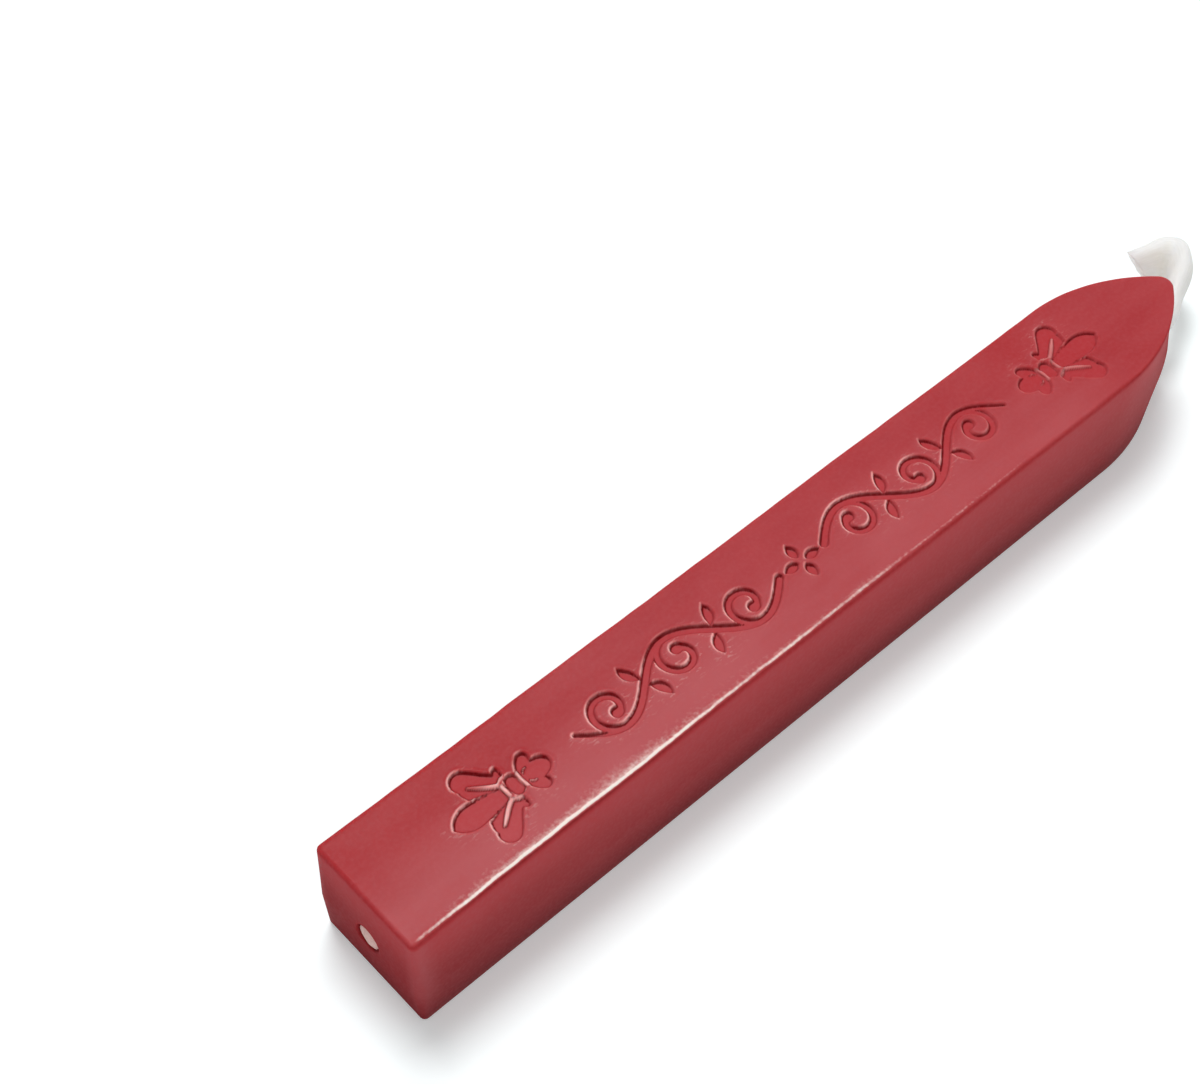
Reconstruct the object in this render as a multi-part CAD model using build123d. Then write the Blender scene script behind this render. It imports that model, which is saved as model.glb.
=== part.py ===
from build123d import *
import math
import os

# Moulded wax bar: sizes in millimetres
bar_length = 90.0           # butt face to nose, at the parting line
bar_height = 11.0           # resting face to the ornamented face
parting_height = 4.6        # level of the parting line above the resting face
parting_width = 11.8        # widest section, at the parting line
top_width = 11.0            # ornamented face
base_width = 11.4           # resting face
top_butt_inset = 0.25       # draft of the butt up to the ornamented face
base_butt_inset = 0.2       # draft of the butt down to the resting face
top_nose_inset = 0.25       # draft of the nose up to the ornamented face
base_nose_inset = 1.1       # draft of the nose down to the resting face
top_point_length = 12.0     # pointed end, shoulder to nose, at the ornamented face
parting_point_length = 14.0
base_point_length = 11.8
top_nose_radius = 1.2
parting_nose_radius = 2.8
base_nose_radius = 2.4
top_edge_radius = 0.35
base_edge_radius = 0.3
parting_corner_radius = 0.8  # upright corners of the butt end, at the parting line
corner_margin = 0.15        # by which those corners are rounder than the edges they run into

# Cotton wick
wick_diameter = 2.4         # held stretch and the tail's root
tail_thickness = 2.1        # free tail, spread to a band that stands on its edge
tail_breadth = 4.1
cut_breadth = 3.2           # narrower again at the cut end
spread_end = 0.4            # shares of the tail's length where the band has its full breadth
narrow_start = 0.75
wick_height = 5.2           # wick axis above the resting face
bore_clearance = 0.05       # round the wick, all over the bore
butt_recess = 0.2           # wick end below the butt face
bend_stand_off = 1.5        # bending axis of the tail in front of the nose
bend_gap = 0.15             # between the tail's rounded root and the held stretch
fold_radius = 1.5           # centre line of the tail's fold
cut_slant = 30.0            # degrees, tail's cut end off upright, its top edge the longer

butt_x = -bar_length / 2
nose_x = bar_length / 2

# Tail's centre line, as offsets from the wick's axis where the tail bends
tail_route = [(0.0, 0.0, 0.0), (4.8, 2.3, -0.25), (7.5, 4.5, -0.4), (2.35, 6.6, -0.4)]


def bar_outline(level, width, butt_inset, nose_inset, point_length, nose_radius, corner):
    """Face of the bar at one level: square butt, straight sides, arched point, round nose.

    The arch leaves the side at the shoulder without a step and meets the nose's circle
    without a step, so its radius follows from the point's length and the two widths.
    """
    half = width / 2
    butt = butt_x + butt_inset
    nose_centre = nose_x - nose_inset - nose_radius
    shoulder = nose_x - nose_inset - point_length
    reach = nose_centre - shoulder
    arch_radius = (reach**2 + half**2 - nose_radius**2) / (2 * (half - nose_radius))
    arch_end = math.degrees(math.atan2(arch_radius - half, reach))
    arch_sweep = 90 - arch_end
    edges = [
        Line((butt, corner - half), (butt, half - corner)),
        CenterArc((butt + corner, half - corner), corner, 180, -90),
        Line((butt + corner, half), (shoulder, half)),
        CenterArc((shoulder, half - arch_radius), arch_radius, 90, -arch_sweep),
        CenterArc((nose_centre, 0), nose_radius, arch_end, -2 * arch_end),
        CenterArc((shoulder, arch_radius - half), arch_radius, -arch_end, -arch_sweep),
        Line((shoulder, -half), (butt + corner, -half)),
        CenterArc((butt + corner, corner - half), corner, 270, -90),
    ]
    return Plane.XY.offset(level) * make_face(edges)


def make_wax_bar():
    """Bar with draft above and below its parting line, rounded edges and the wick's bore."""
    base = bar_outline(
        0, base_width, base_butt_inset, base_nose_inset, base_point_length,
        base_nose_radius, base_edge_radius + corner_margin,
    )
    middle = bar_outline(
        parting_height, parting_width, 0, 0, parting_point_length,
        parting_nose_radius, parting_corner_radius,
    )
    top = bar_outline(
        bar_height, top_width, top_butt_inset, top_nose_inset, top_point_length,
        top_nose_radius, top_edge_radius + corner_margin,
    )
    bar = loft([base, middle], ruled=True) + loft([middle, top], ruled=True)
    bar = fillet(bar.faces().sort_by(Axis.Z)[-1].edges(), top_edge_radius)
    bar = fillet(bar.faces().sort_by(Axis.Z)[0].edges(), base_edge_radius)
    bore = Cylinder(wick_diameter / 2 + bore_clearance, 2 * bar_length, rotation=(0, 90, 0))
    return bar - Pos(0, 0, wick_height) * bore


def make_wick_core():
    """Held stretch of the wick, from just inside the butt to just outside the nose."""
    start = butt_x + butt_recess
    end = nose_x + bend_stand_off - wick_diameter / 2 - bend_gap
    core = Cylinder(wick_diameter / 2, end - start, rotation=(0, 90, 0))
    return Pos((start + end) / 2, 0, wick_height) * core


def make_wick_tail():
    """Free end of the wick: knuckle on the bending axis, band spread upright, fold, slanted cut.

    The knuckle is the part of the wick's cylinder that lies within an upright cylinder about the
    bending axis, so the root turns in place. From there the round section spreads to the band.
    """
    root = Vector(nose_x + bend_stand_off, 0, wick_height)
    route = FilletPolyline([root + Vector(*offset) for offset in tail_route], radius=fold_radius)
    sections = [
        Plane(route @ share, x_dir=(0, 0, 1), z_dir=route % share) * Ellipse(breadth / 2, thickness / 2)
        for share, breadth, thickness in (
            (0.0, wick_diameter, wick_diameter),
            (spread_end, tail_breadth, tail_thickness),
            (narrow_start, tail_breadth, tail_thickness),
            (1.0, cut_breadth, tail_thickness),
        )
    ]
    band = sweep(sections, path=route, multisection=True)
    back = Plane(root, z_dir=-(route % 0)) * Pos(0, 0, wick_diameter / 4)
    knuckle = back * Cylinder(wick_diameter / 2, wick_diameter / 2)
    knuckle &= Pos(root) * Cylinder(wick_diameter / 2, wick_diameter)
    end_run = route % 1
    slant_run = cut_breadth / 2 * math.tan(math.radians(cut_slant))
    upright = Axis((0, 0, 0), end_run.cross(Vector(0, 0, 1)))
    cut_plane = Plane((route @ 1) - end_run * slant_run, z_dir=end_run.rotate(upright, -cut_slant))
    offcut = Pos(0, 0, tail_breadth) * Box(3 * tail_breadth, 3 * tail_breadth, 2 * tail_breadth)
    tail = band + knuckle - cut_plane * offcut
    print(f"wick tail {route.length:.2f} mm, volume {tail.volume:.2f} mm3")
    return tail


os.makedirs("parts", exist_ok=True)
for node, solid in {
    "wax_bar": make_wax_bar(),
    "wick_core": make_wick_core(),
    "wick_tail": make_wick_tail(),
}.items():
    export_step(solid, f"parts/{node}.step")
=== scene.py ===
"""Sealing wax stick: a moulded red bar with sunk ornament, cast round a cotton wick."""

import logging
import math
from collections.abc import Sequence
from dataclasses import dataclass, field
from enum import Enum
from typing import Any

import bpy
import numpy as np
from mathutils import Matrix, Vector
from numpy.typing import NDArray


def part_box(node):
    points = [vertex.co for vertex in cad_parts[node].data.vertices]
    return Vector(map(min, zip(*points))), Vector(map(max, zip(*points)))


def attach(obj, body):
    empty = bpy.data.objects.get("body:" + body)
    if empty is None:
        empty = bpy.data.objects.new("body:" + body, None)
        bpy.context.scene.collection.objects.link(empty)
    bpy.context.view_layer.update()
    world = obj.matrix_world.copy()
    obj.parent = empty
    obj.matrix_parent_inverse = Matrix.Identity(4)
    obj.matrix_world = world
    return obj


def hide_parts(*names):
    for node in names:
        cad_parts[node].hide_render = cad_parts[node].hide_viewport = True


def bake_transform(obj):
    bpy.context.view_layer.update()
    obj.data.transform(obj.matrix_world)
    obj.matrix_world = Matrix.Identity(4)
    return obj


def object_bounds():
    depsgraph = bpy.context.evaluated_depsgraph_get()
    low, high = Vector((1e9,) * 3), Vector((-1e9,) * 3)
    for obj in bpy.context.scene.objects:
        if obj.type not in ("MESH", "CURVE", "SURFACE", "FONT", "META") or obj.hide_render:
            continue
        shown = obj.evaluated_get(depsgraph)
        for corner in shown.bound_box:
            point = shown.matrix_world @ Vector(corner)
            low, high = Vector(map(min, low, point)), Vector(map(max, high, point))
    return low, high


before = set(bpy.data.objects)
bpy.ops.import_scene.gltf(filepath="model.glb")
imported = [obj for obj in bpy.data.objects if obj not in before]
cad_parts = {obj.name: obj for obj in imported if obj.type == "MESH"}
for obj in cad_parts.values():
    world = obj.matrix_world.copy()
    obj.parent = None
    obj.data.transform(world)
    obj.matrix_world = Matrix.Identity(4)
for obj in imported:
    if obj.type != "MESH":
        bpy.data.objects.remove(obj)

Array = NDArray[np.float64]
Indices = NDArray[np.int64]
Colour = tuple[float, float, float, float]
Span = tuple[float, float]
Triple = tuple[float, float, float]
Rows = tuple[Triple, ...]

CAD_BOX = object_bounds()
MM = 0.001
LOG = logging.getLogger("sealing_wax_stick")


class Body(Enum):
    """Bodies of the frame."""

    STICK = "wax_stick"
    TAIL = "wick_end"


class Slot(Enum):
    """Names of the wax and wick material slots."""

    WAX = "wax"
    WICK = "wick"


class WaxValue(Enum):
    """Values on the bar's points that its finish reads."""

    # Of these, the wall value is painted shade, the lip value painted glints, the rubbed value partly wear
    # and partly painted highlight, and the haze value partly bloom and partly painted sheen.
    SUNK = "sunk"
    RIM = "rim"
    WALL = "wall"
    LIP = "lip"
    RUBBED = "rubbed"
    HAZE = "haze"


def srgb(red: int, green: int, blue: int) -> Colour:
    """Linear colour of an 8-bit display colour, by the sRGB power curve.

    Args:
        red: Red from 0 to 255.
        green: Green from 0 to 255.
        blue: Blue from 0 to 255.

    Returns:
        Linear red, green, blue and an alpha of 1.
    """
    share = np.array([red, green, blue]) / 255
    linear = np.where(share > 0.04045, ((share + 0.055) / 1.055) ** 2.4, share / 12.92)
    return (*linear.tolist(), 1.0)


# Shader maths


@dataclass(frozen=True)
class Clouds:
    """Cloud noise.

    Size is that of a cloud, in the unit of the coordinates, and stretch its length along each axis as a share
    of that. Detail is the number of octaves, and offset shifts the pattern, so that two noises differ.
    """

    size: float
    detail: float = 3.0
    stretch: Triple = (1.0, 1.0, 1.0)
    offset: float = 0.0


@dataclass(frozen=True)
class Signal:
    """Output of a shader node; arithmetic on it adds Math nodes."""

    graph: "Graph"
    socket: bpy.types.NodeSocket | None

    def _math(self, operation: str, first: Any, second: Any) -> "Signal":
        """One Math node on two values."""
        return self.graph.node("ShaderNodeMath", {"operation": operation}, {0: first, 1: second})

    def __add__(self, other: Any) -> "Signal":
        """Sum."""
        return self._math("ADD", self, other)

    def __radd__(self, other: Any) -> "Signal":
        """Sum, with the number on the left."""
        return self._math("ADD", other, self)

    def __sub__(self, other: Any) -> "Signal":
        """Difference."""
        return self._math("SUBTRACT", self, other)

    def __rsub__(self, other: Any) -> "Signal":
        """Difference, with the number on the left."""
        return self._math("SUBTRACT", other, self)

    def __mul__(self, other: Any) -> "Signal":
        """Product."""
        return self._math("MULTIPLY", self, other)

    def either(self, other: Any) -> "Signal":
        """Larger of two values."""
        return self._math("MAXIMUM", self, other)

    def ramp(self, low: float, high: float) -> "Signal":
        """Smooth step from 0 at low to 1 at high."""
        span = {0: self, 1: low, 2: high, 3: 0.0, 4: 1.0}
        return self.graph.node("ShaderNodeMapRange", {"interpolation_type": "SMOOTHSTEP"}, span)


class Graph:
    """Node tree of a material or a world, built by expressions."""

    def __init__(self, tree: bpy.types.NodeTree) -> None:
        """Empties the tree."""
        self.tree = tree
        tree.nodes.clear()

    def node(
        self,
        kind: str,
        settings: dict[str, Any] | None = None,
        sockets: dict[str | int, Any] | None = None,
        output: str | int = 0,
    ) -> Signal:
        """Adds one node, sets it and links it.

        Args:
            kind: Type name of the node.
            settings: Properties, set before the sockets.
            sockets: Numbers, colours or signals by socket name or number.
            output: Output socket that the result stands for.

        Returns:
            Signal of that output, without a socket where the node has none.
        """
        made = self.tree.nodes.new(kind)
        for name, value in (settings or {}).items():
            setattr(made, name, value)
        for key, value in (sockets or {}).items():
            if isinstance(value, Signal):
                self.tree.links.new(value.socket, made.inputs[key])
            else:
                made.inputs[key].default_value = value
        return Signal(self, made.outputs[output] if made.outputs else None)

    def place(self) -> Signal:
        """Object coordinates, in metres."""
        return self.node("ShaderNodeTexCoord", output="Object")

    def attribute(self, name: str, output: str = "Fac") -> Signal:
        """Value stored on the mesh's points."""
        return self.node("ShaderNodeAttribute", {"attribute_name": name}, output=output)

    def noise(self, place: Signal, clouds: Clouds) -> Signal:
        """Cloud noise from 0 to 1.

        Args:
            place: Coordinates.
            clouds: Size and form of the clouds.

        Returns:
            Signal of the noise.
        """
        scale = tuple(1.0 / (clouds.size * share) for share in clouds.stretch)
        moved = {"Vector": place, "Location": (clouds.offset,) * 3, "Scale": scale}
        shifted = self.node("ShaderNodeMapping", None, moved)
        octaves = {"Vector": shifted, "Scale": 1.0, "Detail": clouds.detail}
        return self.node("ShaderNodeTexNoise", None, octaves)

    def mix(self, share: Any, first: Any, second: Any) -> Signal:
        """Colour between two colours."""
        settings = {"data_type": "RGBA"}
        return self.node("ShaderNodeMix", settings, {0: share, 6: first, 7: second}, output=2)

    def bump(self, height: Signal, distance: float) -> Signal:
        """Normal of a surface whose height is distance times the signal."""
        return self.node("ShaderNodeBump", None, {"Strength": 1.0, "Distance": distance, "Height": height})

    def surface(self, sockets: dict[str | int, Any]) -> None:
        """Principled surface with these sockets, as the material's output."""
        shader = self.node("ShaderNodeBsdfPrincipled", None, sockets)
        self.node("ShaderNodeOutputMaterial", None, {"Surface": shader})


def new_material(name: str) -> tuple[bpy.types.Material, Graph]:
    """Empty node material.

    Args:
        name: Material name.

    Returns:
        The material and its graph.
    """
    material = bpy.data.materials.new(name)
    material.use_nodes = True
    return material, Graph(material.node_tree)


# Finishes


@dataclass(frozen=True)
class WaxFinish:
    """Satin sealing wax: clouded red under a pale haze, partly bloom and partly painted sheen, near white on
    its long edges from rubbing and a painted highlight, with painted light and shade on the walls, painted
    shade in the ornament's grooves and painted glints on its lips, scuffed by the ornament.

    Sizes and places are in metres, in the bar's own coordinates, and colours are linear. A pair is where
    a smooth step starts and ends. A cover is the share by which a colour hides what is under it.
    """

    deep: Colour = srgb(166, 44, 49)
    clear: Colour = srgb(177, 58, 62)
    sunk: Colour = srgb(164, 42, 48)
    # shade is painted shade: mixed into the foot of the walls and into the lower butt
    shade: Colour = srgb(116, 12, 22)
    # groove: painted shade in the ornament's walls and under the long edges
    groove_shade: Colour = srgb(108, 0, 6)
    # lit is painted light: a brighter band on the walls just under the top edge
    painted_light: Colour = srgb(200, 64, 70)
    # haze: partly wax bloom, partly painted sheen; also the painted corner highlight and the grain's flecks
    haze: Colour = srgb(187, 94, 98)
    # bloom: pale scuffs, and the long edges, which are partly wear and partly a painted highlight
    bloom_and_highlight: Colour = srgb(255, 240, 232)
    # glow: painted glints on the ornament's lips and ridge crests
    glow: Colour = srgb(255, 190, 186)
    clouds: Clouds = Clouds(size=0.009, stretch=(1.6, 1.0, 1.0))
    streaks: Clouds = Clouds(size=0.0016, stretch=(5.0, 1.0, 1.0), offset=0.31)
    grain: Clouds = Clouds(size=0.00035, offset=0.57)
    specks: Clouds = Clouds(size=0.00022, detail=2.0, stretch=(2.5, 1.0, 1.0), offset=0.83)
    roughness: float = 0.38
    cloud_roughness: float = 0.18
    grain_roughness: float = 0.12
    worn_polish: float = 0.1
    relief_height: float = 0.00003
    softness: float = 0.4
    depth: float = 0.0012
    depth_shares: Triple = (1.0, 0.22, 0.18)
    refraction: float = 1.45
    sheen: float = 0.1
    side_sheen: float = 0.17
    sheen_roughness: float = 0.3
    wall_top: Span = (0.0103, 0.0107)
    wall_start: Span = (-0.045, -0.0443)
    wall_end: Span = (0.032, 0.0455)
    # foot: painted shade, darker towards the resting face
    foot: Span = (0.0, 0.0075)
    painted_foot_shade_cover: float = 0.68
    painted_light_start: Span = (0.006, 0.0102)
    painted_light_end: Span = (0.0106, 0.0109)
    painted_light_cover: float = 0.6
    # butt end, rise and cover: painted shade on the lower butt and the walls beside it
    butt_end: Span = (-0.045, -0.02)
    butt_rise: Span = (0.004, 0.0105)
    painted_butt_shade_cover: float = 0.32
    # corner end, side, rise and cover: painted highlight on the butt's upright corners
    corner_end: Span = (-0.0447, -0.0425)
    corner_side: Span = (0.0043, 0.0057)
    corner_rise: Span = (0.0, 0.006)
    corner_highlight_cover: float = 0.42
    cloud_ramp: Span = (0.3, 0.85)
    haze_ramp: Span = (-0.3, 1.0)
    haze_cover: float = 0.9
    sunk_cover: float = 0.3
    groove_ramp: Span = (0.02, 0.58)
    grain_ramp: Span = (0.35, 0.75)
    grain_cover: float = 0.14
    rim_ramp: Span = (0.55, 1.0)
    rim_cover: float = 0.35
    lip_ramp: Span = (0.55, 1.05)
    speck_ramp: Span = (0.56, 0.74)
    scuff_ramp: Span = (0.4, 0.7)
    scuff_cover: float = 0.35
    rubbed_ramp: Span = (0.05, 0.4)
    streaky_wear: float = 0.7
    grainy_wear: float = 0.6
    worn_ramp: Span = (0.2, 0.95)
    worn_cover: float = 0.95

    def _walls(self, graph: Graph, body: Signal, place: Signal) -> tuple[Signal, Signal]:
        """Painted light and shade on the walls: painted shade at the foot, a painted light band under the top
        edge, painted shade on the lower butt and a painted highlight on the upright corners.

        Args:
            graph: Graph to add to.
            body: Colour of the wax.
            place: Object coordinates.

        Returns:
            Colour with that painted light and shade, and the weight of the sheen, which is stronger on the
            walls.
        """
        along, aside, height = (
            graph.node("ShaderNodeSeparateXYZ", None, {"Vector": place}, output=axis) for axis in "XYZ"
        )
        below_edge = 1.0 - height.ramp(*self.wall_top)
        beside = along.ramp(*self.wall_start) - along.ramp(*self.wall_end)
        # Painted shade: the walls darken towards their foot.
        foot = 1.0 - height.ramp(*self.foot)
        # Painted light: a brighter band just under the top edge.
        painted_light = height.ramp(*self.painted_light_start) * (1.0 - height.ramp(*self.painted_light_end))
        # Painted shade: the butt and the walls beside it darken towards the bottom.
        painted_butt_shade = (1.0 - along.ramp(*self.butt_end)) * (1.0 - height.ramp(*self.butt_rise))
        # Painted highlight: a paler column up the butt's upright corners.
        corner = (1.0 - along.ramp(*self.corner_end)) * aside.either(0.0 - aside).ramp(*self.corner_side)
        painted_corner_highlight = corner * height.ramp(*self.corner_rise) * below_edge
        for share, colour in (
            (foot * self.painted_foot_shade_cover, self.shade),
            (painted_light * self.painted_light_cover, self.painted_light),
            (painted_butt_shade * self.painted_butt_shade_cover, self.shade),
            (painted_corner_highlight * self.corner_highlight_cover, self.haze),
        ):
            body = graph.mix(share, body, colour)
        return body, self.sheen + beside * below_edge * self.side_sheen

    def material(self) -> bpy.types.Material:
        """Builds the material.

        Returns:
            Wax material, whose scuffs, rubbed edges with their painted highlight, painted groove shade,
            painted glints and haze follow the mesh's own values.
        """
        material, graph = new_material("sealing_wax")
        place = graph.place()
        sunk, rim, wall, lip, rubbed, haze_and_sheen_share = (graph.attribute(value.value) for value in WaxValue)
        noises = (self.clouds, self.streaks, self.grain, self.specks)
        clouds, streaks, grain, specks = (graph.noise(place, noise) for noise in noises)
        body = graph.mix((clouds * 0.8 + streaks * 0.3).ramp(*self.cloud_ramp), self.deep, self.clear)
        # Haze over the body: partly bloom, partly painted sheen.
        hazing = haze_and_sheen_share * self.haze_cover * (clouds + streaks * 0.4).ramp(*self.haze_ramp)
        body, sheen = self._walls(graph, graph.mix(hazing, body, self.haze), place)
        hazy_rim = rim * (clouds + streaks * 0.5).ramp(*self.rim_ramp)
        scuff = specks.ramp(*self.speck_ramp) * rim * clouds.ramp(*self.scuff_ramp)
        # Rubbed long edges: partly wear, partly a painted highlight.
        patchy = rubbed + (streaks - 0.5) * self.streaky_wear + (grain - 0.5) * self.grainy_wear
        worn_and_highlit = patchy.ramp(*self.worn_ramp) * rubbed.ramp(*self.rubbed_ramp)
        for share, colour in (
            (sunk * self.sunk_cover, self.sunk),
            # Painted shade in the ornament's walls, by the wall value.
            (wall.ramp(*self.groove_ramp), self.groove_shade),
            (grain.ramp(*self.grain_ramp) * self.grain_cover, self.haze),
            (hazy_rim * self.rim_cover, self.haze),
            # Painted glints on lips and ridges.
            (lip * (streaks * 0.8 + clouds).ramp(*self.lip_ramp), self.glow),
            ((scuff * self.scuff_cover).either(worn_and_highlit * self.worn_cover), self.bloom_and_highlight),
        ):
            body = graph.mix(share, body, colour)
        relief = grain * 0.5 + streaks * 0.35 + specks * 0.15
        rough = self.roughness + (clouds - 0.5) * self.cloud_roughness + (grain - 0.5) * self.grain_roughness
        graph.surface({
            "Base Color": body,
            "Roughness": rough - worn_and_highlit * self.worn_polish,
            "IOR": self.refraction,
            "Specular IOR Level": 0.0,
            "Coat Weight": sheen,
            "Coat Roughness": self.sheen_roughness,
            "Coat IOR": self.refraction,
            "Subsurface Weight": self.softness,
            "Subsurface Radius": self.depth_shares,
            "Subsurface Scale": self.depth,
            "Normal": graph.bump(relief, self.relief_height),
        })
        return material


@dataclass(frozen=True)
class CottonFinish:
    """Off-white waxed cotton: fine fibres along the wick over a faint braid.

    The pattern reads the mesh's own straightened coordinates, in millimetres.
    """

    name: str = "waxed_cotton"
    light: Colour = srgb(251, 250, 241)
    shade: Colour = srgb(240, 239, 229)
    softness: float = 1.0
    depth: float = 0.006
    depth_shares: Triple = (1.0, 0.95, 0.85)
    fibres: Clouds = Clouds(size=0.11, stretch=(14.0, 1.0, 1.0))
    tufts: Clouds = Clouds(size=0.66, detail=2.0, stretch=(3.0, 1.0, 1.0), offset=0.4)
    tone_ramp: Span = (0.32, 0.75)
    roughness: float = 0.62
    fibre_roughness: float = 0.2
    relief_height: float = 0.00003

    def material(self) -> bpy.types.Material:
        """Builds the material.

        Returns:
            Cotton material.
        """
        material, graph = new_material(self.name)
        straight = graph.attribute("straight", "Vector")
        fibres, tufts = (graph.noise(straight, noise) for noise in (self.fibres, self.tufts))
        tone = (fibres * 0.6 + tufts * 0.5).ramp(*self.tone_ramp)
        graph.surface({
            "Base Color": graph.mix(tone, self.shade, self.light),
            "Roughness": self.roughness + (fibres - 0.5) * self.fibre_roughness,
            "Subsurface Weight": self.softness,
            "Subsurface Radius": self.depth_shares,
            "Subsurface Scale": self.depth,
            "Normal": graph.bump(fibres + tufts * 0.5, self.relief_height),
        })
        return material


@dataclass(frozen=True)
class FloorFinish:
    """White paper floor that still takes the object's shadow.

    To the eye it is cool, which makes up for the red light that the bar throws on it, and it stays white
    far from the lamps. The pair is the distance, in metres, over which it turns to that white.
    """

    colour: Colour = srgb(240, 243, 244)
    seen_colour: Colour = srgb(235, 243, 244)
    lift: float = 0.27
    far_lift: float = 0.75
    far: Span = (0.075, 0.25)

    def material(self) -> bpy.types.Material:
        """Builds the material.

        Returns:
            Matte floor, lifted to white for the eye and for reflections.
        """
        material, graph = new_material("white_floor")
        paths = seen_rays(graph)
        colour = graph.mix(paths, self.colour, self.seen_colour)
        matte = graph.node("ShaderNodeBsdfDiffuse", None, {"Color": colour})
        away = graph.node("ShaderNodeVectorMath", {"operation": "LENGTH"}, {0: graph.place()}, output="Value")
        strength = paths * (self.lift + away.ramp(*self.far) * self.far_lift)
        glow = graph.node("ShaderNodeEmission", None, {"Strength": strength})
        both = graph.node("ShaderNodeAddShader", None, {0: matte, 1: glow})
        graph.node("ShaderNodeOutputMaterial", None, {"Surface": both})
        return material


def seen_rays(graph: Graph) -> Signal:
    """1 for rays from the eye, from reflections and through clear things, else 0.

    Args:
        graph: Graph to add to.

    Returns:
        Signal of the test.
    """
    kinds = ("Is Camera Ray", "Is Glossy Ray", "Is Transmission Ray")
    camera, glossy, clear = (graph.node("ShaderNodeLightPath", output=kind) for kind in kinds)
    return camera.either(glossy).either(clear)


# Surfaces


def smoothstep(value: Array, low: float, high: float) -> Array:
    """Smooth step: 3t^2 - 2t^3, where t runs from 0 at low to 1 at high.

    Args:
        value: Values.
        low: Value where the step starts.
        high: Value where it ends.

    Returns:
        Shares from 0 to 1.
    """
    share = np.clip((value - low) / (high - low), 0, 1)
    return share * share * (3 - 2 * share)


def bell(value: Array, width: float) -> Array:
    """Bell curve: e to the power of -(value / width)^2."""
    return np.exp(-((value / width) ** 2))


def swell(
    points: Array, wavelength: float, seed: int, waves: int = 8, spread: Span = (0.7, 1.5)
) -> Array:
    """Smooth unevenness: sine waves of about one wavelength, in seeded directions, added up.

    Args:
        points: Points, one to a row of the last axis.
        wavelength: About the distance between crests.
        seed: Seed of the directions, lengths and phases.
        waves: Number of waves.
        spread: Least and greatest length of a wave, as shares of the wavelength.

    Returns:
        One value for each point, mostly between -1 and 1.
    """
    draw = np.random.default_rng(seed)
    heading = draw.normal(size=(waves, points.shape[-1]))
    heading /= np.linalg.norm(heading, axis=1, keepdims=True)
    length = wavelength * draw.uniform(*spread, (waves, 1))
    phase = draw.uniform(0, 2 * math.pi, waves)
    crests = np.sin(2 * math.pi * points @ (heading / length).T + phase)
    return crests.sum(-1) / math.sqrt(2 * waves)


def swells(points: Array, waves: Rows, step: int = 0) -> Array:
    """Sum of swells, each given as its share, its wavelength and its seed, which the step is added to."""
    return sum(share * swell(points, length, int(seed) + step) for share, length, seed in waves)


def smooth_line(points: Sequence[Sequence[float]], steps: int = 10) -> Array:
    """Cubic curve through points, whose slope at each is half the step between its neighbours.

    Args:
        points: Points to pass through; extra columns, such as a width, are carried along.
        steps: Points made for each span.

    Returns:
        Points on the curve.
    """
    given = np.asarray(points, float)
    padded = np.concatenate([2 * given[:1] - given[1:2], given, 2 * given[-1:] - given[-2:-1]])
    share = np.linspace(0, 1, steps, endpoint=False)[None, :, None]
    before, start, end, after = (padded[k : len(given) - 1 + k, None, :] for k in range(4))
    bend = 2 * before - 5 * start + 4 * end - after
    twist = 3 * start - before - 3 * end + after
    spans = start + 0.5 * ((end - before) * share + bend * share**2 + twist * share**3)
    return np.concatenate([spans.reshape(-1, given.shape[1]), given[-1:]])


def rounded_line(corners: Array, runs: Sequence[float], steps: int = 16) -> Array:
    """Line through corners, each inner one rounded by a parabola.

    The parabola leaves one leg and meets the next at a run from the corner; each of its points is the
    sum of its start, the corner and its end in the shares (1 - t)^2, 2t(1 - t) and t^2.

    Args:
        corners: Corners, first and last included.
        runs: Run of each inner corner.
        steps: Points made for each parabola.

    Returns:
        Points on the line.
    """
    legs = np.diff(corners, axis=0)
    legs /= np.linalg.norm(legs, axis=1, keepdims=True)
    share = np.linspace(0, 1, steps)[:, None]
    pieces = [corners[:1]]
    for corner, before, after, run in zip(corners[1:-1], legs, legs[1:], runs):
        start, end = corner - run * before, corner + run * after
        pieces.append((1 - share) ** 2 * start + 2 * share * (1 - share) * corner + share**2 * end)
    return np.concatenate([*pieces, corners[-1:]])


def grid_faces(rows: int, columns: int, closed: bool = False) -> Indices:
    """Four-sided faces of a grid of points, outward where columns cross rows outwards.

    Args:
        rows: Rows of points.
        columns: Points in a row.
        closed: Whether the last column joins the first.

    Returns:
        Point numbers, four to a face.
    """
    row = np.arange(rows - 1)[:, None] * columns
    column = np.arange(columns if closed else columns - 1)[None, :]
    beside = (column + 1) % columns
    corners = (row + column, row + beside, row + columns + beside, row + columns + column)
    return np.stack(corners, -1).reshape(-1, 4)


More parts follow.
